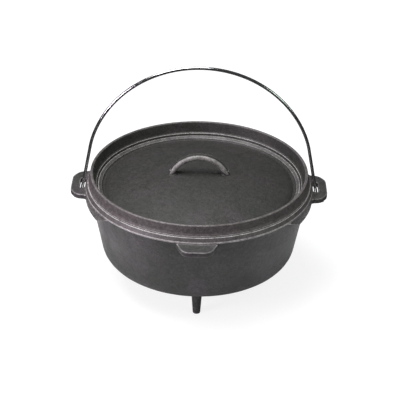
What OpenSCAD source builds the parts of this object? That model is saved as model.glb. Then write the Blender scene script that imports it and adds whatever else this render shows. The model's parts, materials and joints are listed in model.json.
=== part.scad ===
// Camp-style cast iron dutch oven: a footed pot with two ears and a front tab,
// a flanged coal lid with an arched handle, and a plated wire bail.
// Millimetres, +Z up. The origin is the centre of the pot's flat underside.

/* [Pot] */
// Height of the pot's rim above its flat underside
pot_h = 121.8; // [116:0.1:128]
// Outside radius of the wall just under the rim band
wall_top_r = 163.5; // [160:0.5:164]
// Radius where the wall and the underside would meet without their rounding
base_corner_r = 143; // [134:0.5:146]
// Outside rounding between the wall and the underside
base_round = 24; // [22:1:36]
// Thickness of the wall
wall_t = 5; // [4:0.25:6]
// Thickness of the floor
floor_t = 6; // [4.5:0.25:8]
// Largest radius of the rim band, at its lower edge
band_r = 170.3; // [169:0.1:171]
// Height of the rim band from its lower edge to the rim
band_h = 9.3; // [8:0.1:11]

/* [Ears, tab and legs] */
// Distance from the pot's axis to the end of each ear
ear_reach = 191; // [187:0.5:196]
// Half the width of each ear
ear_half_w = 36; // [31:0.5:38]
// Thickness of the ears and of the front tab
lug_t = 8; // [7:0.5:8.5]
// Depth of the web under each ear, below the band's lower edge
web_drop = 18; // [12:1:20]
// Distance from the pot's axis to the end of the front tab
tab_reach = 191; // [184:0.5:196]
// Half the width of the front tab at its outer edge
tab_half_w = 20; // [17:0.5:23]
// Distance from the pot's axis to the middle of each leg
leg_r = 110; // [104:1:112]
// Length of the legs below the underside
leg_h = 41; // [34:1:46]

/* [Lid] */
// Radius of the lid's outer lower edge
lid_r = 165.4; // [164.5:0.1:165.8]
// Height of the lid's crest above the pot's rim
crest_h = 17; // [14:0.5:19]
// Rise of the domed plate from its edge to its middle
dome_h = 19.7; // [15:0.1:22]
// Thickness of the domed plate
plate_t = 5; // [4:0.25:5.5]
// Radius of the handle's centreline
arch_r = 43.8; // [41:0.2:46]
// Height of the handle's centreline above the middle of the plate
arch_h = 26.3; // [24:0.1:29]

/* [Bail] */
// Diameter of the wire
wire_d = 4.8; // [4.2:0.1:5]
// Distance from the pot's axis to the wire where it passes through the ears
bail_half_span = 174.3; // [174.2:0.1:174.6]
// Radius of the top of the arch
arch_top_r = 166; // [165:0.5:172]
// Width of the slot in each ear
slot_w = 8.4; // [8.3:0.1:9]
// Length of the slot in each ear
slot_l = 30; // [29:0.5:36]

/* [Hidden] */
$fn = 96;

iron = "#3b3a39";
steel = "#d5d7da";

// Pot: the wall leans outward by the draft angle from the base corner.
lug_top_z = pot_h - 8.7;
lug_bottom_z = lug_top_z - lug_t;
band_low_z = pot_h - band_h;
draft = atan((wall_top_r - base_corner_r) / band_low_z);
inner_round = base_round - wall_t;
band_slope_r = 4;
band_edge_r = 1.4;
seat_outer_r = band_r - band_slope_r;
under_band_round = 3;

// Web: a thick root that carries each ear's load down into the wall.
web_r = 170;
web_half_angle = 28.5;
web_slope = 4;

// Lid: heights are measured from the pot's rim, where the flange rests.
plate_r = 142;
plate_edge_z = pot_h - 7.5;
ring_r = 152.6;
lip_gap = 1.3;
lip_depth = 12.3;
dome_top_z = plate_edge_z + dome_h;

// Handle: a bar of stadium section, bent round a circle, on two flared feet.
bar_t = 8;
bar_w = 13;
arch_z = dome_top_z + arch_h - arch_r;
foot_x = arch_r - 4.8;
foot_flare_r = 7.4;

// Bail: a wide top arc, a tighter shoulder arc on each side, then a straight leg.
// seam is the step in the wire's radius where stretches join, and lap is how far
// they overlap there, as degrees times millimetres of radius.
pivot_z = lug_top_z - lug_t / 2;
shoulder_r = 133;
top_half_angle = 70;
leg_lean = 11;
hook_depth = 19.5;
hook_r = 6;
hook_stub = 5;
seam = 0.02;
lap = 10;
shoulder_x = (arch_top_r - shoulder_r) * sin(top_half_angle);
leg_start_x = shoulder_x + shoulder_r * cos(leg_lean);
leg_start_h = (bail_half_span - leg_start_x) / tan(leg_lean);
shoulder_z = pivot_z + leg_start_h - shoulder_r * sin(leg_lean);
top_z = shoulder_z - (arch_top_r - shoulder_r) * cos(top_half_angle);
hook_z = pivot_z - hook_depth + hook_r;
leg_end_z = hook_z - hook_r * sin(leg_lean);
leg_len = (pivot_z + leg_start_h - leg_end_z) / cos(leg_lean);
leg_end_x = leg_start_x + leg_len * sin(leg_lean);

// Points along an arc, from angle a0 to a1 in degrees.
function arc(cx, cy, r, a0, a1, n = 8) =
    [for (i = [0:n]) let (a = a0 + (a1 - a0) * i / n) [cx + r * cos(a), cy + r * sin(a)]];

// Radius of the wall's outer face at height z, above its rounding.
function wall_r(z) = base_corner_r + z * tan(draft);

// Radius of the wall's inner face at height z, above its rounding.
function inner_r(z) = wall_r(z) - wall_t / cos(draft);

// Height of the domed plate's upper face at radius r.
function dome_z(r) = dome_top_z - dome_h * pow(r / plate_r, 2);

// Half outline of the pot's outside, from the axis to the rim.
function pot_outside() = concat(
    [[0, 0]],
    arc(base_corner_r - base_round * tan(45 - draft / 2), base_round, base_round, -90, -draft, 12),
    arc(wall_r(band_low_z - under_band_round) + under_band_round,
        band_low_z - under_band_round, under_band_round, 180, 90, 5),
    arc(band_r - band_edge_r, band_low_z + band_edge_r, band_edge_r, -90, 30, 5),
    arc(seat_outer_r - 1, pot_h - 1, 1, 30, 90, 4));

// Half outline of the pot's inside, from the rim to the axis.
function pot_inside() = concat(
    arc(inner_r(pot_h) + 1, pot_h - 1, 1, 90, 180, 4),
    arc(inner_r(floor_t) - inner_round * tan(45 - draft / 2), floor_t + inner_round,
        inner_round, -draft, -90, 12),
    [[0, floor_t]]);

// The pot as it would be without its cavity, to trim what is cast onto it.
module pot_blank() {
    rotate_extrude($fn = 180)
        polygon(concat(pot_outside(), [[0, pot_h]]));
}

// The slots that the bail's ends pass through, cored through ears and band edge.
module ear_slot() {
    slot_r = slot_w / 2;
    translate([bail_half_span, 0, lug_bottom_z - 1])
        linear_extrude(lug_t + 12) {
            square([slot_w, slot_l - slot_w], center = true);
            for (side = [-1, 1])
                translate([0, side * (slot_l / 2 - slot_r)]) circle(slot_r);
        }
}

module pot_shell() {
    color(iron) difference() {
        rotate_extrude($fn = 180) polygon(concat(pot_outside(), pot_inside()));
        ear_slot();
        mirror([1, 0, 0]) ear_slot();
    }
}

// A rounded ear that points along +X, with concave fillets where it meets the band.
module ear_outline() {
    corner_r = 20.5;
    fillet_r = 8;
    side = ear_half_w + fillet_r;
    fillet_x = sqrt(pow(band_r + fillet_r, 2) - side * side);
    touch = [fillet_x, side] * band_r / (band_r + fillet_r);
    for (s = [0, 1]) mirror([0, s]) {
        translate([ear_reach - corner_r, ear_half_w - corner_r]) circle(corner_r);
        translate([150, -1]) square([ear_reach - corner_r - 150, ear_half_w + 1]);
        translate([150, -1]) square([ear_reach - 150, ear_half_w - corner_r + 1]);
        difference() {
            polygon([[150, ear_half_w - 2], [fillet_x, ear_half_w - 2], [fillet_x, side],
                     touch, touch * 0.95]);
            translate([fillet_x, side]) circle(fillet_r);
        }
    }
}

// The web under an ear, a block that follows the wall, with a sloping underside.
module ear_web() {
    low_z = band_low_z - web_drop;
    rotate([0, 0, -web_half_angle])
        rotate_extrude(angle = 2 * web_half_angle, $fn = 180)
            polygon([[150, low_z], [web_r - web_slope, low_z], [web_r, low_z + web_slope],
                     [web_r, band_low_z + 1], [150, band_low_z + 1]]);
}

module ear() {
    color(iron) difference() {
        union() {
            translate([0, 0, lug_bottom_z]) linear_extrude(lug_t) ear_outline();
            ear_web();
        }
        pot_blank();
        ear_slot();
    }
}

module ear_left() mirror([1, 0, 0]) ear();

module ear_right() ear();

// A tapered tab with rounded corners, pointing along -Y.
module front_tab() {
    corner_r = 9;
    fillet_r = 9;
    root_half_w = tab_half_w + 6;
    color(iron) difference() {
        translate([0, 0, lug_bottom_z]) linear_extrude(lug_t)
            offset(r = -fillet_r) offset(delta = fillet_r) {
                circle(wall_top_r - 4);
                hull() {
                    for (s = [-1, 1])
                        translate([s * (tab_half_w - corner_r), corner_r - tab_reach])
                            circle(corner_r);
                    translate([-root_half_w, -150]) square([2 * root_half_w, 10]);
                }
            }
        pot_blank();
    }
}

// A tapered round leg with a small flat foot, at an angle round the pot.
module leg(angle) {
    root_r = 8.2;
    ankle_r = 5.4;
    toe_r = 2.4;
    color(iron) rotate([0, 0, angle]) difference() {
        translate([leg_r, 0, 0]) rotate_extrude($fn = 60)
            polygon(concat([[0, -leg_h]],
                           arc(ankle_r - toe_r, toe_r - leg_h, toe_r, -90, 0, 5),
                           [[root_r, 0], [root_r, 6], [0, 6]]));
        pot_blank();
    }
}

module leg_front() leg(-90);

module leg_rear_left() leg(150);

module leg_rear_right() leg(30);

// Half outline of the lid's upper face, from the middle to the crest.
function lid_top() = concat(
    [for (i = [0:16]) let (r = plate_r * i / 16) [r, dome_z(r)]],
    [[plate_r + 3, plate_edge_z + 1.6], [ring_r - 1.2, plate_edge_z + 4.4],
     [ring_r - 0.4, pot_h - 1.2], [ring_r + 2, pot_h + 1.8]],
    arc(lid_r - 5.6, pot_h + crest_h - 1.7, 1.7, 165, 15, 6));

// Half outline of the lid's flange and underside, from its outer edge to the middle.
function lid_under() = concat(
    arc(lid_r - 1.4, pot_h + 2, 1.4, 10, -60, 4),
    [[lid_r - 1.2, pot_h], [inner_r(pot_h) - lip_gap, pot_h]],
    [[inner_r(pot_h - lip_depth + 1) - lip_gap, pot_h - lip_depth + 1]],
    [[inner_r(pot_h - lip_depth) - lip_gap - 1, pot_h - lip_depth]],
    [for (i = [16:-1:0]) let (r = plate_r * i / 16) [r, dome_z(r) - plate_t]]);

module lid_casting() {
    rotate_extrude($fn = 180) polygon(concat(lid_top(), lid_under()));
}

// The cylinder that divides the lid's casting into its plate and its raised rim.
module lid_core() {
    translate([0, 0, pot_h - 30]) cylinder(h = 60 + dome_h, r = ring_r + 0.5, $fn = 180);
}

module lid_plate() {
    color(iron) intersection() {
        lid_casting();
        lid_core();
    }
}

module lid_rim() {
    color(iron) difference() {
        lid_casting();
        lid_core();
    }
}

// The solid under the plate's upper face, to trim the handle's feet.
module dome_blank() {
    rotate_extrude($fn = 180)
        polygon(concat([for (i = [0:16]) let (r = plate_r * i / 16) [r, dome_z(r)]],
                       [[plate_r, 0], [0, 0]]));
}

module lid_handle() {
    bar_r = bar_t / 2;
    color(iron) difference() {
        union() {
            translate([0, 0, arch_z]) rotate([90, 0, 0])
                rotate_extrude(angle = 180) translate([arch_r, 0]) {
                    square([bar_t, bar_w - bar_t], center = true);
                    for (s = [-1, 1]) translate([0, s * (bar_w - bar_t) / 2]) circle(bar_r);
                }
            for (s = [-1, 1])
                translate([s * foot_x, 0, dome_z(foot_x) - 2])
                    cylinder(h = 9, r1 = foot_flare_r, r2 = bar_w / 2 - 1);
        }
        dome_blank();
    }
}

// A piece of wire bent round a centre in the XZ plane, from angle a0 to a1.
module wire_arc(cx, cz, r, a0, a1, grow = 0) {
    translate([cx, 0, cz]) rotate([90, 0, 0]) rotate([0, 0, a0])
        rotate_extrude(angle = a1 - a0) translate([r, 0])
            circle(wire_d / 2 + grow, $fn = 48);
}

// A straight piece of wire from a point in the XZ plane, leaning by an angle from +Z.
module wire_rod(x, z, lean, length, grow = 0) {
    translate([x, 0, z]) rotate([0, lean, 0])
        cylinder(h = length, r = wire_d / 2 + grow, $fn = 48);
}

// One side of the bail: shoulder, straight leg, and the hook under the ear.
// Each stretch ends just inside a neighbour that is thicker by one seam.
module bail_side() {
    hook_x = leg_end_x + hook_r * cos(leg_lean);
    wire_arc(shoulder_x, shoulder_z, shoulder_r,
             leg_lean - lap / shoulder_r, 90 - top_half_angle, seam);
    wire_rod(leg_start_x, pivot_z + leg_start_h, 180 - leg_lean, leg_len, 2 * seam);
    wire_arc(hook_x, hook_z, hook_r, 180 + leg_lean - lap / hook_r, 270 + lap / hook_r, seam);
    wire_rod(hook_x, hook_z - hook_r, 90, hook_stub, 2 * seam);
}

module bail() {
    color(steel) {
        wire_arc(0, top_z, arch_top_r, 90 - top_half_angle - lap / arch_top_r,
                 90 + top_half_angle + lap / arch_top_r);
        bail_side();
        mirror([1, 0, 0]) bail_side();
    }
}

pot_shell();
ear_left();
ear_right();
front_tab();
leg_front();
leg_rear_left();
leg_rear_right();
lid_plate();
lid_rim();
lid_handle();
bail();
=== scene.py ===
# %% [markdown]
# # A camp oven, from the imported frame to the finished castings
# This file is a lesson in cells. It dresses the fixed CAD frame of a footed cast iron
# dutch oven: a pot and a lid, each poured in one piece in sand, and a bail bent from plated
# steel wire. The frame already says where everything is and how it moves, so each new mesh
# takes its sizes from the frame and then stands in for the plain nodes it replaces.

# %% Load the frame
import bpy
import bmesh
import json
import math
from mathutils import Matrix, Vector


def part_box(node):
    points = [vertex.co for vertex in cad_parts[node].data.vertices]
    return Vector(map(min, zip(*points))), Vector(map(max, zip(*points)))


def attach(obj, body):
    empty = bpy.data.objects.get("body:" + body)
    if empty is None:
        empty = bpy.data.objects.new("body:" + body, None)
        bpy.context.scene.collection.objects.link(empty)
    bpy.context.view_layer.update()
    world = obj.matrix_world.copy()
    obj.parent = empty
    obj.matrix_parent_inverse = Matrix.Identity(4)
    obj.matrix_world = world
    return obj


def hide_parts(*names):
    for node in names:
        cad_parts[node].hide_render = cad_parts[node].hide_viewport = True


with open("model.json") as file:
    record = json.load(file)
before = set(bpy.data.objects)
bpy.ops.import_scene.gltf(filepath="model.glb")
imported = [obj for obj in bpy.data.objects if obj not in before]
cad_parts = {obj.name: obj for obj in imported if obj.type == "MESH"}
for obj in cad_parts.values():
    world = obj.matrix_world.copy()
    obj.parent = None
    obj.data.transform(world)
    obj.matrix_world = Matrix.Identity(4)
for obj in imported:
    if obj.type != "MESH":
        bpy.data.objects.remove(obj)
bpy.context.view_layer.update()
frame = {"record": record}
MM = 0.001

# %% [markdown]
# ## Sizes that the frame gives
# Every driving size is read from a node's box, so a change in the CAD part carries over.
# Sizes that a box can't give, such as the wall's thickness, are the same named values as in
# the part's own source. The pot's axis is Z, and its flat underside is at zero.

# %% Read the sizes
pot_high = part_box("pot_shell")[1]
rim_z, band_r = pot_high.z, pot_high.y
lid_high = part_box("lid_rim")[1]
crest_z, lid_r = lid_high.z, lid_high.y
dome_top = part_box("lid_plate")[1].z
ear_low, ear_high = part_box("ear_right")
tab_low, tab_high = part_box("front_tab")
toe_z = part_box("leg_front")[0].z
hinge = next(j for j in frame["record"]["behaviour"]["joints"] if j["type"] == "hinge")
pivot = Vector(hinge["pos_m"])
print("rim", rim_z, "band", band_r, "crest", crest_z, "toe", toe_z, "pivot", pivot.z)

# %% [markdown]
# ## Outlines with rounded corners
# A casting has no sharp corner anywhere, because sand won't hold one and a pattern has to
# draw out of it. So an outline is written as a few corners, each with its own radius, and
# this helper turns the corners into arcs. It also breaks long straight runs into short
# steps.

# %% Turn corners into arcs
def rounded(corners, step=5 * MM, arc_step=12):
    """Points along the corners (x, y, radius), with arcs at the radii, in metres."""
    bends = [[Vector(corners[0][:2])]]
    for before, here, after in zip(corners, corners[1:], corners[2:]):
        point = Vector(here[:2])
        back = (Vector(before[:2]) - point).normalized()
        on = (Vector(after[:2]) - point).normalized()
        half = back.angle(on) / 2
        if here[2] == 0 or half > math.radians(89.5):
            bends.append([point])
            continue
        centre = point + (back + on).normalized() * here[2] / math.sin(half)
        first = point + back * here[2] / math.tan(half) - centre
        last = point + on * here[2] / math.tan(half) - centre
        turn = math.copysign(math.pi - 2 * half, first.x * last.y - first.y * last.x)
        count = max(3, round(math.degrees(abs(turn)) / arc_step))
        bends.append([centre + Matrix.Rotation(turn * k / count, 2) @ first
                      for k in range(count + 1)])
    bends.append([Vector(corners[-1][:2])])
    points = bends[0][:]
    for bend in bends[1:]:
        gap = bend[0] - points[-1]
        runs = max(1, round(gap.length / step))
        points += [points[-1] + gap * k / runs for k in range(1, runs)] + bend
    return points


def corners_mm(*corners):
    """The same corners with millimetres made metres."""
    return [tuple(c * MM for c in corner) for corner in corners]


# %% [markdown]
# ## Drawing an outline and spinning it
# A round casting is turned on the screen as its wooden pattern was turned on a lathe: one
# vertex is extruded along half of the section, and the line is spun round the axis. Lathing
# with the Screw modifier would do the same, but the spin operator leaves plain geometry
# that the next steps can select and cut.

# %% Draw and spin
def only(piece):
    """Select one object alone and make it the active one."""
    bpy.ops.object.select_all(action="DESELECT")
    piece.select_set(True)
    bpy.context.view_layer.objects.active = piece


def draw_line(name, points):
    """A new object with one line through the 3-D points, left in edit mode."""
    bpy.ops.object.select_all(action="DESELECT")
    bpy.ops.mesh.primitive_plane_add(size=MM)
    piece = bpy.context.object
    piece.name = piece.data.name = name
    bpy.ops.object.mode_set(mode="EDIT")
    bpy.ops.mesh.merge(type="CENTER")
    bpy.ops.transform.translate(value=points[0])
    for here, there in zip(points, points[1:]):
        bpy.ops.mesh.extrude_region_move(TRANSFORM_OT_translate={"value": there - here})
    return piece


def heal():
    """In edit mode: merge doubles and point every face outwards."""
    bpy.ops.mesh.select_all(action="SELECT")
    bpy.ops.mesh.remove_doubles(threshold=1e-6)
    bpy.ops.mesh.normals_make_consistent(inside=False)


def spin_outline(name, outline, steps=192, centre=(0, 0, 0)):
    """A closed round solid from half its section, given as (radius, height) points."""
    middle = Vector(centre)
    piece = draw_line(name, [middle + Vector((p.x, 0, p.y)) for p in outline])
    bpy.ops.mesh.select_all(action="SELECT")
    bpy.ops.mesh.spin(steps=steps, angle=2 * math.pi, center=middle, axis=(0, 0, 1))
    heal()
    bpy.ops.object.mode_set(mode="OBJECT")
    return piece


def modify(piece, kind, **settings):
    """Add one modifier with its settings and apply it at once."""
    only(piece)
    modifier = piece.modifiers.new(kind.lower(), kind)
    for key, value in settings.items():
        setattr(modifier, key, value)
    bpy.ops.object.modifier_apply(modifier=modifier.name)
    return piece


# %% [markdown]
# ## The pot's shell
# The wall leans outward so that the pattern lifts out of the sand, turns under in a wide
# round to the flat floor, and ends in a rim band that is thicker than the wall and slopes
# outward as it goes down. The band stiffens the mouth and carries the lid. The section
# runs from the axis along the underside, up the outside, over the rim and back inside.

# %% Turn the pot's shell
wall_t, floor_t = 5, 6
base_r, base_round = 143, 24
band_low = rim_z / MM - 9.3
wall_top = 163.5
lean = (wall_top - base_r) / band_low
wall_flat = wall_t * math.hypot(1, lean)
rim_mm, band_mm = rim_z / MM, band_r / MM
inner_top = base_r + lean * rim_mm - wall_flat
inner_base = base_r + lean * floor_t - wall_flat
pot_outline = rounded(corners_mm(
    (0, 0, 0), (base_r, 0, base_round), (wall_top, band_low, 3.5),
    (band_mm + 1.65, band_low, 2.2), (band_mm - 1.6, band_low + 4, 3),
    (band_mm - 4.3, rim_mm, 1.6), (inner_top, rim_mm, 1.4),
    (inner_base, floor_t, base_round - wall_t), (0, floor_t, 0)))
pot = spin_outline("pot_casting", pot_outline)
print("pot casting:", len(pot_outline), "outline points,", len(pot.data.polygons), "faces")

# %% [markdown]
# ## The lid's plate, rim and flange
# The lid is a shallow dome inside a raised rim, so that coals can be heaped on it. From the
# middle outward: the dome, a fine groove, a sloping ring, a second groove under a narrow
# ledge, the steep inner face of the rim, its rounded crest, the outer face, and the flange's
# edge. Underneath, the flange rests on the pot's rim, and a lip inside it keeps the lid from
# sliding off. Grooves and ledge could be left to bump, but then they would vanish side on, so
# they are corners of the section.

# %% Turn the lid
plate_r, dome_rise, plate_t = 142, 19.7, 5
crest_mm, lid_mm, dome_mm = crest_z / MM, lid_r / MM, dome_top / MM
ring_z = rim_mm - 7.5
lip_r, lip_z = inner_top - 1.3, rim_mm - 12.3


def dome(offset, first, last):
    """Points of the dome between two radii in millimetres, shifted by an offset."""
    count = 22
    radii = [first + (last - first) * k / count for k in range(count + 1)]
    return [Vector((r, dome_mm + offset - dome_rise * (r / plate_r) ** 2)) * MM for r in radii]


rim_top = rounded(corners_mm(
    (plate_r - 3, ring_z + 0.8, 0), (plate_r - 1.2, ring_z - 1, 1),
    (plate_r + 2.2, ring_z - 0.6, 1), (plate_r + 3.8, ring_z + 1.8, 1),
    (150.2, ring_z + 4.3, 0.8), (151.2, ring_z + 2.9, 0.6),
    (152.2, ring_z + 3.1, 0.6), (152.7, rim_mm - 0.5, 0.8), (155.3, rim_mm + 0.6, 1.2),
    (157.8, crest_mm, 1.6), (161.7, crest_mm, 1.8),
    (163.4, rim_mm + 5.2, 4), (lid_mm + 0.15, rim_mm + 1.6, 1.2), (lid_mm - 0.9, rim_mm, 0.7),
    (lip_r, rim_mm, 0.8), (lip_r - 2.4, lip_z, 1.2), (151.5, lip_z - 0.2, 3),
    (plate_r, ring_z - plate_t, 0)), step=3 * MM)
lid_outline = dome(0, 0, plate_r - 3)[:-1] + rim_top[:-1] + dome(-plate_t, plate_r, 0)
lid = spin_outline("lid_casting", lid_outline)
print("lid casting:", len(lid_outline), "outline points,", len(lid.data.polygons), "faces")

# %% [markdown]
# ## Features cast onto a shell
# Ears, tab, legs and handle were poured with their shell, so the iron flows into them
# through a soft fillet. A boolean would leave a hard corner. Instead each feature is joined
# with a small patch of the shell, sunk a quarter of a millimetre under the real surface,
# and the two are remeshed in voxels and smoothed. The fillet rises out of the visible
# shell, and the patch's cut edges stay buried in the iron.

# %% Cast a feature on
def box_between(name, low, high):
    """A box from its lowest to its highest corner."""
    bpy.ops.object.select_all(action="DESELECT")
    bpy.ops.mesh.primitive_cube_add(size=1, location=(low + high) / 2, scale=high - low)
    bpy.ops.object.transform_apply(location=True, rotation=True, scale=True)
    bpy.context.object.name = name
    return bpy.context.object


def copy_of(piece, name):
    """A copy with a mesh of its own."""
    only(piece)
    bpy.ops.object.duplicate()
    bpy.context.object.name = bpy.context.object.data.name = name
    return bpy.context.object


def join_to(piece, other):
    """Join another object's mesh into a piece."""
    only(piece)
    other.select_set(True)
    bpy.ops.object.join()
    return piece


def cut_with(piece, tool, operation="DIFFERENCE"):
    """Apply a boolean with a tool object."""
    return modify(piece, "BOOLEAN", object=tool, operation=operation, solver="EXACT")


def cast_on(piece, shell, low, high, voxel=0.8 * MM, smoothing=9):
    """Blend a feature into the part of its shell that lies in the box from low to high."""
    patch = modify(copy_of(shell, "patch"), "DISPLACE", strength=-0.25 * MM, mid_level=0)
    block = box_between("block", low, high)
    cut_with(patch, block, "INTERSECT")
    join_to(piece, patch)
    modify(piece, "REMESH", mode="VOXEL", voxel_size=voxel)
    modify(piece, "SMOOTH", factor=0.5, iterations=smoothing)
    bpy.data.objects.remove(block)
    print(piece.name, "blended:", len(piece.data.polygons), "faces")
    return piece


def plate_from(name, outline, low_z, high_z):
    """A flat plate from a closed plan outline of (x, y) points."""
    piece = draw_line(name, [Vector((p.x, p.y, low_z)) for p in outline])
    bpy.ops.mesh.select_all(action="SELECT")
    bpy.ops.mesh.edge_face_add()
    bpy.ops.mesh.extrude_region_move(
        TRANSFORM_OT_translate={"value": (0, 0, high_z - low_z)})
    heal()
    bpy.ops.object.mode_set(mode="OBJECT")
    return piece


def sector_from(name, outline, half_angle):
    """A section, given as closed (radius, height) points, swept each way from +X."""
    start = Matrix.Rotation(math.radians(-half_angle), 3, "Z")
    piece = draw_line(name, [start @ Vector((p.x, 0, p.y)) for p in outline])
    bpy.ops.mesh.select_all(action="SELECT")
    bpy.ops.mesh.edge_face_add()
    bpy.ops.mesh.spin(steps=36, angle=math.radians(2 * half_angle), center=(0, 0, 0),
                      axis=(0, 0, -1))
    heal()
    bpy.ops.object.mode_set(mode="OBJECT")
    return piece


def mirrored(piece, name):
    """A copy mirrored across the plane between left and right."""
    twin = copy_of(piece, name)
    bpy.ops.object.mode_set(mode="EDIT")
    bpy.ops.mesh.select_all(action="SELECT")
    bpy.ops.transform.resize(value=(-1, 1, 1), center_override=(0, 0, 0))
    heal()
    bpy.ops.object.mode_set(mode="OBJECT")
    return twin


def turned(piece, name, degrees):
    """A copy turned round the pot's axis, with its place kept in its mesh."""
    twin = copy_of(piece, name)
    twin.data.transform(Matrix.Rotation(math.radians(degrees), 4, "Z"))
    return twin


# %% [markdown]
# ## Ears with slots
# Each ear is a rounded plate that grows out of the band, with a long slot beside the band
# for the bail's end. In the foundry a core leaves the slot, so its rims are soft as well.
# Under the plate a thick web, flush with the band, carries the load down into the wall: its
# section is swept round the pot's axis, and a slanting cut at each end lets it fade into the
# band. One ear is made and the other is its mirror image.

# %% Make the ears
ear_reach, ear_w = ear_high.x / MM, 35.8
ear_z = (tab_low.z + 0.1 * MM, tab_high.z - 0.1 * MM)
half_plan = [(150, 47, 0), (163.2, 47, 0), (166.4, ear_w + 0.6, 8), (181, ear_w, 14),
             (ear_reach, 20.5, 20)]
ear_plan = half_plan + [(x, -y, r) for x, y, r in reversed(half_plan)]
span, slot_w, slot_l = 174.3, 8, 29.4


def slot_cutter():
    """The slot's core, a tall block with round ends."""
    end = (slot_l - slot_w) / 2
    bpy.ops.object.select_all(action="DESELECT")
    bpy.ops.mesh.primitive_cylinder_add(vertices=48, radius=slot_w / 2 * MM, depth=24 * MM,
                                        location=(span * MM, 0, pivot.z + 4 * MM))
    core = bpy.context.object
    bpy.ops.object.transform_apply(location=True)
    for v in core.data.vertices:
        v.co.y += math.copysign(end * MM, v.co.y) if abs(v.co.y) > 1e-6 else 0
    return core


slot_core = slot_cutter()
ear_right = plate_from("ear_right_casting", rounded(corners_mm(*ear_plan)), *ear_z)
web_r, web_half, web_fade = 170, 28.5, 12
web_low, web_high = ear_low.z / MM + 0.3, band_low + 1.5
web_section = rounded(corners_mm((160, web_high, 0), (160, web_low, 0), (web_r, web_low, 4.5),
                                 (web_r, web_high, 0)))
web = sector_from("web", web_section, web_half + web_fade + 1)


def at_angle(radius, degrees, height):
    """A point by its distance from the axis, its angle from +X and its height, in mm."""
    return Vector((radius * math.cos(math.radians(degrees)),
                   radius * math.sin(math.radians(degrees)), height)) * MM


only(web)
bpy.ops.object.mode_set(mode="EDIT")
for side in (-1, 1):
    starts = at_angle(web_r, side * web_half, web_low)
    slope = at_angle(web_r, side * (web_half + web_fade), band_low) - starts
    outward = at_angle(1, side * (web_half + web_fade / 2), 0)
    down = (slope.cross(outward) * side).normalized()
    bpy.ops.mesh.select_all(action="SELECT")
    bpy.ops.mesh.bisect(plane_co=starts, plane_no=down, use_fill=True, clear_outer=True,
                        threshold=1e-6)
bpy.ops.object.mode_set(mode="OBJECT")
print("web, mm:", [round(c / MM, 1) for c in web.dimensions])
join_to(ear_right, web)
cut_with(ear_right, slot_core)
bpy.data.objects.remove(slot_core)
# The box holds the ear, the web and a strip of the shell on each side of them.
cast_on(ear_right, pot, Vector((118, -118, 86)) * MM, Vector((176, 118, rim_mm + 2)) * MM)
ear_left = mirrored(ear_right, "ear_left_casting")

# %% [markdown]
# ## The front tab
# A plain tab sticks out of the band over the front leg, to steady or tip the pot with a
# gloved hand. Its sides slope and its corners are round, so it is drawn in plan like the
# ears and blended into the band in the same way.

# %% Make the front tab
tab_w, tab_reach = 20, -tab_low.y / MM
tab_half = [(30, -150, 0), (30, -163, 4), (28.5, -168.5, 8), (tab_w - 0.5, -tab_reach + 0.02, 14)]
tab_plan = tab_half + [(-x, y, r) for x, y, r in reversed(tab_half)]
tab_z = (tab_low.z + 0.1 * MM, tab_high.z - 0.1 * MM)
tab = plate_from("front_tab_casting", rounded(corners_mm(*tab_plan)), *tab_z)
cast_on(tab, pot, Vector((-42, -176, 98)) * MM, Vector((42, -143, rim_mm + 2)) * MM)

# %% [markdown]
# ## Three legs
# The legs lift the oven over a bed of coals. Each one tapers to a blunt toe and swells into
# the underside. One leg is turned, blended into the floor and trimmed level at the toe, and
# the other two are copies a third of a turn away.

# %% Make the legs
leg_at, toe_mm = 110, toe_z / MM
leg_outline = rounded(corners_mm(
    (0, toe_mm - 1.6, 0), (5.6, toe_mm - 1.6, 2.4), (8.3, 0, 0), (8.3, 3, 0), (0, 3, 0)), 2 * MM)
leg_front = spin_outline("leg_front_casting", leg_outline, 64, (0, -leg_at * MM, 0))
cast_on(leg_front, pot, Vector((-26, -leg_at - 26, -1)) * MM, Vector((26, -leg_at + 26, 9)) * MM,
        smoothing=12)
only(leg_front)
bpy.ops.object.mode_set(mode="EDIT")
bpy.ops.mesh.select_all(action="SELECT")
bpy.ops.mesh.bisect(plane_co=(0, 0, toe_z), plane_no=(0, 0, -1), use_fill=True,
                    clear_outer=True, threshold=1e-6)
heal()
bpy.ops.object.mode_set(mode="OBJECT")
leg_left = turned(leg_front, "leg_rear_left_casting", -120)
leg_right = turned(leg_front, "leg_rear_right_casting", 120)

# %% [markdown]
# ## The lid's handle
# The handle is an arched bar, deeper than it is thick, that stands on two swelling feet. A
# circle is stretched into the bar's section, spun through half a turn, and given a cone at
# each foot before it is blended into the dome.

# %% Make the handle
bar_t, bar_w, arch_r = 8, 13, 43.8
arch_z = dome_mm + 26.3 - arch_r
arch_start = 17


def arch_bar(name):
    """The arched bar, from one foot to the other."""
    angle = math.radians(arch_start)
    place = Vector((arch_r * math.cos(angle), 0, arch_z + arch_r * math.sin(angle))) * MM
    bpy.ops.object.select_all(action="DESELECT")
    bpy.ops.mesh.primitive_circle_add(vertices=32, radius=bar_t / 2 * MM, location=place,
                                      rotation=(0, -angle, 0))
    bar = bpy.context.object
    bar.name = bar.data.name = name
    bpy.ops.object.transform_apply(location=True, rotation=True)
    for v in bar.data.vertices:
        v.co.y += math.copysign((bar_w - bar_t) / 2 * MM, v.co.y)
    bpy.ops.object.mode_set(mode="EDIT")
    bpy.ops.mesh.select_all(action="SELECT")
    bpy.ops.mesh.edge_face_add()
    bpy.ops.mesh.spin(steps=72, angle=math.radians(180 - 2 * arch_start),
                      center=(0, 0, arch_z * MM), axis=(0, 1, 0))
    bpy.ops.mesh.edge_face_add()
    heal()
    bpy.ops.object.mode_set(mode="OBJECT")
    return bar


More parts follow.
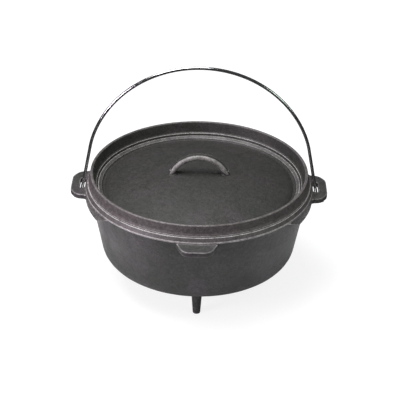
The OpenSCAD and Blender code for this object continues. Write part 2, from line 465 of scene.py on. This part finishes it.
def foot_cone(side):
    """One flared foot under the bar."""
    bpy.ops.object.select_all(action="DESELECT")
    bpy.ops.mesh.primitive_cone_add(
        vertices=48, radius1=7.2 * MM, radius2=5 * MM, depth=9 * MM,
        location=Vector((side * (arch_r - 4.9), 0, dome_mm + 0.4)) * MM)
    cone = bpy.context.object
    bpy.ops.object.transform_apply(location=True)
    return cone


handle = arch_bar("lid_handle_casting")
for side in (-1, 1):
    join_to(handle, foot_cone(side))
cast_on(handle, lid, Vector((-64, -18, dome_mm - 14)) * MM, Vector((64, 18, dome_mm + 2)) * MM)

# %% [markdown]
# ## The bail
# The bail is one length of round wire. It is bent over a wide former at the top and a
# tighter one at each shoulder, runs straight to the ear, passes down through the slot and
# turns outward under it. The wire's section is carried along by spins and extrusions on one
# side, and mirrored.

# %% Bend the bail
wire_r, hook_r, hook_depth, stub = 2.4, 6, 19.5, 5
top_r, shoulder_r, top_angle, lean_angle = 166, 133, 70, 11
shoulder = Vector(((top_r - shoulder_r) * math.sin(math.radians(top_angle)), 0, 0))
lean_rad, pivot_mm = math.radians(lean_angle), pivot.z / MM
run_x = shoulder.x + shoulder_r * math.cos(lean_rad)
run_z = pivot_mm + (span - run_x) / math.tan(lean_rad)
shoulder.z = run_z - shoulder_r * math.sin(lean_rad)
top_mm = shoulder.z - (top_r - shoulder_r) * math.cos(math.radians(top_angle))
hook_z = pivot_mm - hook_depth + hook_r
run_len = (run_z - hook_z + hook_r * math.sin(lean_rad)) / math.cos(lean_rad)
hook_x = run_x + run_len * math.sin(lean_rad) + hook_r * math.cos(lean_rad)


def bend(steps, degrees, x, z):
    """Carry the selected section round a centre in the bail's plane."""
    bpy.ops.mesh.spin(steps=steps, angle=math.radians(degrees),
                      center=(x * MM, 0, z * MM), axis=(0, -1, 0))


def run(steps, direction, length):
    """Carry the selected section straight on."""
    for _ in range(steps):
        bpy.ops.mesh.extrude_region_move(
            TRANSFORM_OT_translate={"value": direction * (length / steps * MM)})


bpy.ops.object.select_all(action="DESELECT")
bpy.ops.mesh.primitive_circle_add(vertices=24, radius=wire_r * MM, rotation=(0, math.pi / 2, 0),
                                  location=(0, 0, (top_mm + top_r) * MM))
bail = bpy.context.object
bail.name = bail.data.name = "bail_wire"
bpy.ops.object.transform_apply(location=True, rotation=True)
bpy.ops.object.mode_set(mode="EDIT")
bpy.ops.mesh.select_all(action="SELECT")
bend(50, top_angle, 0, top_mm)
bend(6, 90 - top_angle - lean_angle, shoulder.x, shoulder.z)
run(12, Vector((math.sin(lean_rad), 0, -math.cos(lean_rad))), run_len)
bend(12, -(90 - lean_angle), hook_x, hook_z)
run(3, Vector((1, 0, 0)), stub)
bpy.ops.mesh.edge_face_add()
bpy.ops.mesh.bevel(offset=0.5 * MM, segments=3)
bpy.ops.object.mode_set(mode="OBJECT")
modify(bail, "MIRROR", use_axis=(True, False, False), merge_threshold=1e-6)
only(bail)
bpy.ops.object.mode_set(mode="EDIT")
heal()
bpy.ops.object.mode_set(mode="OBJECT")
print("bail:", len(bail.data.polygons), "faces, top at", round((top_mm + top_r + wire_r), 2))

# %% [markdown]
# ## Each mesh takes its place in the frame
# A piece rides on the body that its node belongs to, hides the nodes it stands for, and
# names the record's material slot. The pot's features keep pieces of their own, so each
# can be reused or refinished.

# %% Ride, replace and smooth
PIECES = [
    (pot, "pot", "pot_iron", ["pot_shell"]), (ear_left, "pot", "pot_iron", ["ear_left"]),
    (ear_right, "pot", "pot_iron", ["ear_right"]), (tab, "pot", "pot_iron", ["front_tab"]),
    (leg_front, "pot", "pot_iron", ["leg_front"]),
    (leg_left, "pot", "pot_iron", ["leg_rear_left"]),
    (leg_right, "pot", "pot_iron", ["leg_rear_right"]),
    (lid, "lid", "lid_iron", ["lid_plate", "lid_rim"]),
    (handle, "lid", "lid_iron", ["lid_handle"]), (bail, "bail", "bail_wire", ["bail"]),
]
for piece, body, slot_name, nodes in PIECES:
    only(piece)
    bpy.ops.object.shade_smooth_by_angle(angle=math.radians(40))
    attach(piece, body)
    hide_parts(*nodes)

# %% [markdown]
# ## Where the iron is rubbed, with a painted highlight
# Hands, the lid and the wire rub a casting where it stands proud, and leave its edges paler
# and smoother. The same paler edges also carry a painted highlight, the bright line that light
# leaves along a rounded edge. The wear and the painted highlight have to follow the real shape,
# so each vertex is given the mean curvature of the mesh round it: the turn between neighbouring
# faces, summed over its edges and divided by its area. Flat and hollow places get nothing, and
# rounded edges get most.

# %% Measure the proud edges
def mark_proud_edges(piece, full_curve=260.0, blur=3):
    """Store a vertex attribute that is 1 where the surface bends out by full_curve per metre."""
    bm = bmesh.new()
    bm.from_mesh(piece.data)
    turn, area = [0.0] * len(bm.verts), [1e-12] * len(bm.verts)
    for face in bm.faces:
        share = face.calc_area() / len(face.verts)
        for v in face.verts:
            area[v.index] += share
    for edge in bm.edges:
        bend_here = edge.calc_face_angle_signed(0.0) * edge.calc_length() / 4
        for v in edge.verts:
            turn[v.index] += bend_here
    proud = [min(max(t / a / full_curve, 0.0), 1.0) for t, a in zip(turn, area)]
    near = [[e.other_vert(v).index for e in v.link_edges] for v in bm.verts]
    bm.free()
    for _ in range(blur):
        proud = [0.5 * p + 0.5 * sum(proud[k] for k in n) / max(len(n), 1)
                 for p, n in zip(proud, near)]
    piece.data.attributes.new("proud", "FLOAT", "POINT").data.foreach_set("value", proud)
    # The share of vertices that are painted paler, as wear and as painted highlight.
    wear_and_highlight_share = sum(1 for p in proud if p > 0.3) / len(proud)
    print(piece.name, "worn share:", round(wear_and_highlight_share, 3))


# Finely meshed pieces get a lower limit and one more round of blur.
FEW_FACES = 26000
for piece, body, slot_name, nodes in PIECES:
    if slot_name != "bail_wire":
        few = len(piece.data.polygons) < FEW_FACES
        mark_proud_edges(piece, 260.0 if few else 200.0, 2 if few else 3)

# %% [markdown]
# ## Effects that the finishes share
# Three effects are node groups, built once and placed in the materials with their own
# values: the skin that a sand mould leaves, the rub on proud edges with its painted highlight,
# and the cloudy tone of baked-on oil. Loose nodes in each material would look the same, but a
# group is tuned in one place and can be used again. They read Object coordinates, so the
# pattern keeps its scale on every piece and runs on across a feature and its shell. First come
# helpers that add nodes.

# %% A small kit for node groups
def new_group(name, inputs, outputs):
    """A node group with named sockets, given as (name, kind, default)."""
    group = bpy.data.node_groups.new(name, "ShaderNodeTree")
    for label, kind, default in inputs:
        socket = group.interface.new_socket(label, in_out="INPUT", socket_type=kind)
        if default is not None:
            socket.default_value = default
    for label, kind in outputs:
        group.interface.new_socket(label, in_out="OUTPUT", socket_type=kind)
    return group, group.nodes.new("NodeGroupInput"), group.nodes.new("NodeGroupOutput")


def node(tree, kind, links=(), **settings):
    """A new node with its settings, and its inputs linked or given a value."""
    made = tree.nodes.new(kind)
    for key, value in settings.items():
        setattr(made, key, value)
    for socket, source in dict(links).items():
        if isinstance(source, bpy.types.NodeSocket):
            tree.links.new(source, made.inputs[socket])
        else:
            made.inputs[socket].default_value = source
    return made


def math_node(tree, operation, first, second=0.0):
    """One sum, product or other arithmetic step, as its output socket."""
    return node(tree, "ShaderNodeMath", {0: first, 1: second}, operation=operation).outputs[0]


def ranged(tree, value, low, high, to_low=0.0, to_high=1.0):
    """A value taken from one range to another, as its output socket."""
    return node(tree, "ShaderNodeMapRange", {0: value, 1: low, 2: high, 3: to_low, 4: to_high}
                ).outputs[0]


def noise(tree, vector, scale, detail=4.0, rough=0.55):
    """Noise at a scale per metre, as its output socket."""
    return node(tree, "ShaderNodeTexNoise", {"Vector": vector, "Scale": scale,
                                             "Detail": detail, "Roughness": rough}).outputs["Fac"]


def mixed(tree, share, first, second, blend="MIX"):
    """Two colours mixed, as an output socket."""
    return node(tree, "ShaderNodeMix", {0: share, 6: first, 7: second}, data_type="RGBA",
                blend_type=blend).outputs[2]


# %% [markdown]
# ## The skin that sand leaves
# Iron poured in sand takes the print of the grains: a fine roughness, a coarser one where
# the sand was packed unevenly, long low swells, and here and there a pit. Real displacement
# at this scale would take millions of faces, so the skin is a height for a Bump node, with
# two sizes of noise for the grain and a cell pattern for the pits.

# %% The skin of a sand casting
FLOAT, COLOR, VECTOR = "NodeSocketFloat", "NodeSocketColor", "NodeSocketVector"
skin, ins, outs = new_group(
    "Sand casting skin",
    [("Vector", VECTOR, None), ("Grain per metre", FLOAT, 430.0), ("Pits", FLOAT, 0.5)],
    [("Height", FLOAT), ("Grain", FLOAT)])
vector, grain_scale = ins.outputs["Vector"], ins.outputs["Grain per metre"]
fine = noise(skin, vector, grain_scale, 5.0, 0.62)
coarse = noise(skin, vector, math_node(skin, "MULTIPLY", grain_scale, 0.42), 3.0, 0.6)
grain = math_node(skin, "ADD", math_node(skin, "MULTIPLY", fine, 0.55),
                  math_node(skin, "MULTIPLY", coarse, 0.45))
swell = noise(skin, vector, 62.0, 3.0)
cells = node(skin, "ShaderNodeTexVoronoi", {"Vector": vector, "Scale": 240.0})
pits = ranged(skin, cells.outputs["Distance"], 0.0, 0.32, 1.0, 0.0)
pit_depth = math_node(skin, "MULTIPLY", pits, ins.outputs["Pits"])
swell_part = math_node(skin, "MULTIPLY", swell, 2.2)
height = math_node(skin, "SUBTRACT", math_node(skin, "ADD", grain, swell_part), pit_depth)
skin.links.new(height, outs.inputs["Height"])
skin.links.new(grain, outs.inputs["Grain"])

# %% [markdown]
# ## The rub and painted highlight on an edge
# The stored curvature says where an edge stands proud. It could be used as it is, but real
# wear is patchy, so it is broken up with noise before it becomes a mask. The mask pales the
# edges both as wear and as a painted highlight.

# %% The rub and painted highlight on proud edges
rub_and_highlight, ins, outs = new_group(
    "Edge rub",
    [("Vector", VECTOR, None), ("From", FLOAT, 0.15), ("To", FLOAT, 0.7)],
    [("Mask", FLOAT)])
proud = node(rub_and_highlight, "ShaderNodeAttribute", attribute_name="proud").outputs["Fac"]
# This mask pales proud edges both as wear and as a painted highlight.
wear_and_highlight = ranged(rub_and_highlight, proud, ins.outputs["From"], ins.outputs["To"])
broken = ranged(rub_and_highlight, noise(rub_and_highlight, ins.outputs["Vector"], 55.0, 5.0, 0.65), 0.32, 0.6, 0.35, 1.0)
rub_and_highlight.links.new(math_node(rub_and_highlight, "MULTIPLY", wear_and_highlight, broken), outs.inputs["Mask"])

# %% [markdown]
# ## Baked-on oil
# Oil that has been baked on in many coats is never even: broad clouds are a little warmer,
# and smaller blots are darker and greener. One noise could do both, but the two have
# different sizes, so each has its own.

# %% The cloudy tone of baked-on oil
oil, ins, outs = new_group(
    "Baked oil",
    [("Vector", VECTOR, None), ("Iron", COLOR, (0.04, 0.04, 0.04, 1)),
     ("Warm", COLOR, (0.05, 0.04, 0.04, 1)), ("Dark", COLOR, (0.025, 0.028, 0.025, 1))],
    [("Color", COLOR), ("Cloud", FLOAT)])
cloud = ranged(oil, noise(oil, ins.outputs["Vector"], 11.0, 5.0), 0.4, 0.62)
blot = ranged(oil, noise(oil, ins.outputs["Vector"], 37.0, 4.0), 0.42, 0.66)
warmed = mixed(oil, cloud, ins.outputs["Iron"], ins.outputs["Warm"])
toned = mixed(oil, math_node(oil, "MULTIPLY", blot, 0.6), warmed, ins.outputs["Dark"])
oil.links.new(toned, outs.inputs["Color"])
oil.links.new(cloud, outs.inputs["Cloud"])
print("node groups:", [g.name for g in bpy.data.node_groups])

# %% [markdown]
# ## Seasoned iron
# Seasoned iron is nearly black and matte, with a faint greasy sheen where oil has baked on.
# Its base colour is dark, warmer in some places and greener in others, its roughness varies
# with the clouds of oil, and its edges are rubbed paler and smoother and painted paler still
# as a painted highlight. The rim, where the two castings meet, takes a lighter, redder tone on
# the rim band, the webs and the lid's outer wall. The lid's base, warm and dark tones are darker
# than the pot's: painted shade that offsets the extra light on its upturned top.

# %% Make the iron
def placed(tree, group, links):
    """A node group placed in a material."""
    made = tree.nodes.new("ShaderNodeGroup")
    made.node_tree = group
    for socket, source in links.items():
        if isinstance(source, bpy.types.NodeSocket):
            tree.links.new(source, made.inputs[socket])
        else:
            made.inputs[socket].default_value = source
    return made


def new_material(name):
    """A material with a Principled shader, its tree and its Object coordinates."""
    material = bpy.data.materials.new(name)
    material.use_nodes = True
    tree = material.node_tree
    coords = tree.nodes.new("ShaderNodeTexCoord").outputs["Object"]
    return material, tree, tree.nodes["Principled BSDF"], coords


handle_edge, web_side = 59, 132


def place_of(tree, coords):
    """The outputs X, Y and Z of a place, and its distance from the pot's axis."""
    apart = node(tree, "ShaderNodeSeparateXYZ", {0: coords}).outputs
    flat = node(tree, "ShaderNodeCombineXYZ", {0: apart[0], 1: apart[1]}).outputs[0]
    across = node(tree, "ShaderNodeVectorMath", {0: flat}, operation="LENGTH").outputs["Value"]
    return apart, across


def rim_zone(tree, coords):
    """1 on the lid's wall, the rim band and the webs, by height and distance from the axis."""
    apart, across = place_of(tree, coords)
    outside = ranged(tree, across, lid_r - 8 * MM, lid_r - 4.5 * MM)
    above = ranged(tree, apart[2], rim_z - 13 * MM, rim_z - 8 * MM)
    inside = ranged(tree, across, (web_r + 0.5) * MM, (web_r + 2.5) * MM, 1.0, 0.0)
    sideways = math_node(tree, "ABSOLUTE", apart[0])
    beside = ranged(tree, sideways, (web_side - 8) * MM, (web_side + 8) * MM)
    proud_of_wall = ranged(tree, across, (web_r - 4.5) * MM, (web_r - 3) * MM)
    web_zone = math_node(tree, "MULTIPLY", beside, proud_of_wall)
    banded = math_node(tree, "MAXIMUM", math_node(tree, "MULTIPLY", outside, above), web_zone)
    return math_node(tree, "MULTIPLY", banded, inside)


def rub_and_highlight_zone(tree, coords):
    """How hard an edge is rubbed and lit by painted highlight: most where the lid meets the pot,
    and on the handle.
    """
    apart, across = place_of(tree, coords)
    low = ranged(tree, apart[2], rim_z + 3.5 * MM, rim_z + 8 * MM, 1.6, 0.2)
    lifted = ranged(tree, across, (handle_edge - 3) * MM, (handle_edge + 3) * MM, 0.9, 0.0)
    outer = ranged(tree, across, (web_r + 1) * MM, (web_r + 4) * MM, 1.0, 0.3)
    under = ranged(tree, apart[2], (band_low - 3) * MM, (band_low - 1) * MM, 0.3, 1.0)
    kept = math_node(tree, "MULTIPLY", outer, under)
    return math_node(tree, "MULTIPLY", math_node(tree, "MAXIMUM", low, lifted), kept)


def iron(name, tones, rough, grain_scale, bump, edge):
    """Seasoned cast iron: five tones, roughness range, grain, bump depth and edge range."""
    material, tree, shader, coords = new_material(name)
    base, warm, dark, rim, wear_and_highlight = [(*t, 1) for t in tones]
    tone = placed(tree, oil, {"Vector": coords, "Iron": base, "Warm": warm, "Dark": dark})
    texture = placed(tree, skin, {"Vector": coords, "Grain per metre": grain_scale, "Pits": 0.5})
    edges = placed(tree, rub_and_highlight, {"Vector": coords, "From": edge[0], "To": edge[1]})
    zoned = mixed(tree, math_node(tree, "MULTIPLY", rim_zone(tree, coords), 0.75),
                  tone.outputs["Color"], rim)
    # Proud edges are painted paler: part wear, part painted highlight, most near the rim and on
    # the handle.
    rubbed_and_highlit = math_node(tree, "MULTIPLY", edges.outputs[0], rub_and_highlight_zone(tree, coords))
    color = mixed(tree, rubbed_and_highlit, zoned, wear_and_highlight)
    speck = ranged(tree, texture.outputs["Grain"], 0.34, 0.66, 0.5, 1.6)
    flecked = node(tree, "ShaderNodeVectorMath", {0: color, "Scale": speck}, operation="SCALE")
    matte = ranged(tree, tone.outputs["Cloud"], 0.0, 1.0, rough[1], rough[0])
    polished = math_node(tree, "SUBTRACT", matte,
                         math_node(tree, "MULTIPLY", rubbed_and_highlit, 0.16))
    relief = node(tree, "ShaderNodeBump", {"Height": texture.outputs["Height"],
                                           "Strength": bump, "Distance": 0.4 * MM})
    tree.links.new(flecked.outputs[0], shader.inputs["Base Color"])
    tree.links.new(polished, shader.inputs["Roughness"])
    tree.links.new(relief.outputs[0], shader.inputs["Normal"])
    shader.inputs["Specular IOR Level"].default_value = 0.5
    return material


# The fifth tone, for rubbed edges, is pale enough to be a painted highlight as well as wear.
pot_iron = iron("seasoned_iron_pot",
                [(0.034, 0.0345, 0.032), (0.047, 0.041, 0.046), (0.024, 0.029, 0.022),
                 (0.075, 0.066, 0.067), (0.30, 0.285, 0.285)],
                (0.42, 0.60), 430.0, 1.0, (0.3, 0.9))
# The lid's base, warm and dark tones are darker than the pot's: painted shade that offsets the
# extra light on its upturned top.
lid_iron = iron("seasoned_iron_lid",
                [(0.024, 0.024, 0.0225), (0.034, 0.030, 0.030), (0.018, 0.021, 0.016),
                 (0.083, 0.071, 0.072), (0.32, 0.305, 0.30)],
                (0.46, 0.62), 450.0, 1.0, (0.3, 0.9))

# %% [markdown]
# ## Plated wire
# The bail is drawn steel wire with a bright plating. The die leaves fine lines along it,
# and handling leaves faint smudges, so the metal is smooth with a little change in
# roughness from place to place.

# %% Make the wire's finish
bright, tree, shader, coords = new_material("bright_plated_wire")
smudge = ranged(tree, noise(tree, coords, 120.0, 4.0), 0.35, 0.7, 0.10, 0.24)
tree.links.new(smudge, shader.inputs["Roughness"])
drawn = noise(tree, coords, 900.0, 2.0)
relief = node(tree, "ShaderNodeBump", {"Height": drawn, "Strength": 0.12, "Distance": 0.05 * MM})
tree.links.new(relief.outputs[0], shader.inputs["Normal"])
tint = mixed(tree, ranged(tree, noise(tree, coords, 60.0), 0.4, 0.7),
             (0.60, 0.61, 0.62, 1), (0.40, 0.40, 0.41, 1))
tree.links.new(tint, shader.inputs["Base Color"])
shader.inputs["Metallic"].default_value = 1.0

for piece, body, slot_name, nodes in PIECES:
    piece.data.materials.clear()
    piece.data.materials.append({"pot_iron": pot_iron, "lid_iron": lid_iron,
                                 "bail_wire": bright}[slot_name])

# %% [markdown]
# ## The floor
# The floor is a pale sweep that shines a little of its own light, so that shadows on it stay
# faint. Bright wire and oiled iron show what stands round them, so in reflections the floor
# is a white card under the pot on a dark table: the wire turns dark against the pale sweep.
# A plain white floor would be simpler, but the wire would be lost against it.

# %% Set the floor
bpy.ops.object.select_all(action="DESELECT")
bpy.ops.mesh.primitive_plane_add(size=12, location=(0, 0, toe_z))
floor = bpy.context.object
floor.name = "studio_floor"
paper, tree, shader, coords = new_material("pale_sweep")
rays = node(tree, "ShaderNodeLightPath").outputs
away = node(tree, "ShaderNodeVectorMath", {0: coords}, operation="LENGTH").outputs["Value"]
card = mixed(tree, ranged(tree, away, 0.33, 0.37), (0.8, 0.8, 0.8, 1), (0.03, 0.03, 0.03, 1))
sweep = mixed(tree, rays["Is Glossy Ray"], (0.24, 0.24, 0.24, 1), card)
tree.links.new(sweep, shader.inputs["Base Color"])
shader.inputs["Roughness"].default_value = 1.0
shader.inputs["Specular IOR Level"].default_value = 0.0
shader.inputs["Emission Color"].default_value = (1, 1, 1, 1)
tree.links.new(math_node(tree, "MULTIPLY", rays["Is Camera Ray"], 0.82),
               shader.inputs["Emission Strength"])
floor.data.materials.append(paper)

# %% [markdown]
# ## Lights
# A broad softbox hangs overhead and two weaker ones fill the sides, the left one a touch
# rosy and the right one a touch green, as light off coloured walls is. A lit world alone
# would be soft enough, but it would flatten the band and the ring, so it only fills, and in
# reflections it is dim.

# %% Hang the lights
ROSY, GREENISH = (1.0, 0.88, 0.99), (0.84, 1.0, 0.86)


def softbox(name, place, aim, size, watts, tint=(1, 1, 1)):
    """A square area light at a place, facing a point."""
    lamp = bpy.data.lights.new(name, "AREA")
    lamp.size, lamp.energy, lamp.color = size, watts, tint
    box = bpy.data.objects.new(name, lamp)
    box.location = place
    box.rotation_euler = (Vector(aim) - Vector(place)).to_track_quat("-Z", "Y").to_euler()
    bpy.context.collection.objects.link(box)
    return box


softbox("softbox_top", (-0.5, -0.1, 2.0), (0, 0, 0.1), 1.4, 52)
softbox("softbox_left", (-1.9, -1.2, 0.8), (0, 0, 0.05), 0.9, 31, ROSY)
softbox("softbox_right", (1.9, -1.0, 1.1), (0, 0, 0.1), 0.7, 7, GREENISH)
world = bpy.data.worlds.new("studio") if not bpy.data.worlds else bpy.data.worlds[0]
bpy.context.scene.world = world
world.use_nodes = True
tree = world.node_tree
rays = node(tree, "ShaderNodeLightPath").outputs
dim = mixed(tree, rays["Is Glossy Ray"], (0.40, 0.40, 0.41, 1), (0.06, 0.06, 0.063, 1))
shade = mixed(tree, rays["Is Camera Ray"], dim, (1, 1, 1, 1))
tree.links.new(shade, tree.nodes["Background"].inputs["Color"])
tree.nodes["Background"].inputs["Strength"].default_value = 1.0
bpy.context.scene.view_settings.view_transform = "Standard"

# %% [markdown]
# ## The camera
# The view is a little from above, as someone standing at a table would see the oven. A long
# lens from two metres keeps the circles from stretching, and the small shift frames the tall
# bail without tilting the view.

# %% Aim the camera
elevation, azimuth, roll = math.radians(29.16), math.radians(0.52), math.radians(0.88)
distance = 2.0
aim = Vector((0, 0, rim_z + 2.5 * MM))
back = Vector((math.sin(azimuth) * math.cos(elevation), -math.cos(azimuth) * math.cos(elevation),
               math.sin(elevation)))
eye = bpy.data.cameras.new("camera")
camera = bpy.data.objects.new("camera", eye)
bpy.context.collection.objects.link(camera)
camera.location = aim + back * distance
camera.rotation_euler = (back.to_track_quat("Z", "Y").to_matrix()
                         @ Matrix.Rotation(roll, 3, "Z")).to_euler()
eye.lens, eye.sensor_width = 120.55, 36
eye.shift_x, eye.shift_y = 0.0021, -0.0545
eye.clip_end = 50
bpy.context.scene.camera = camera
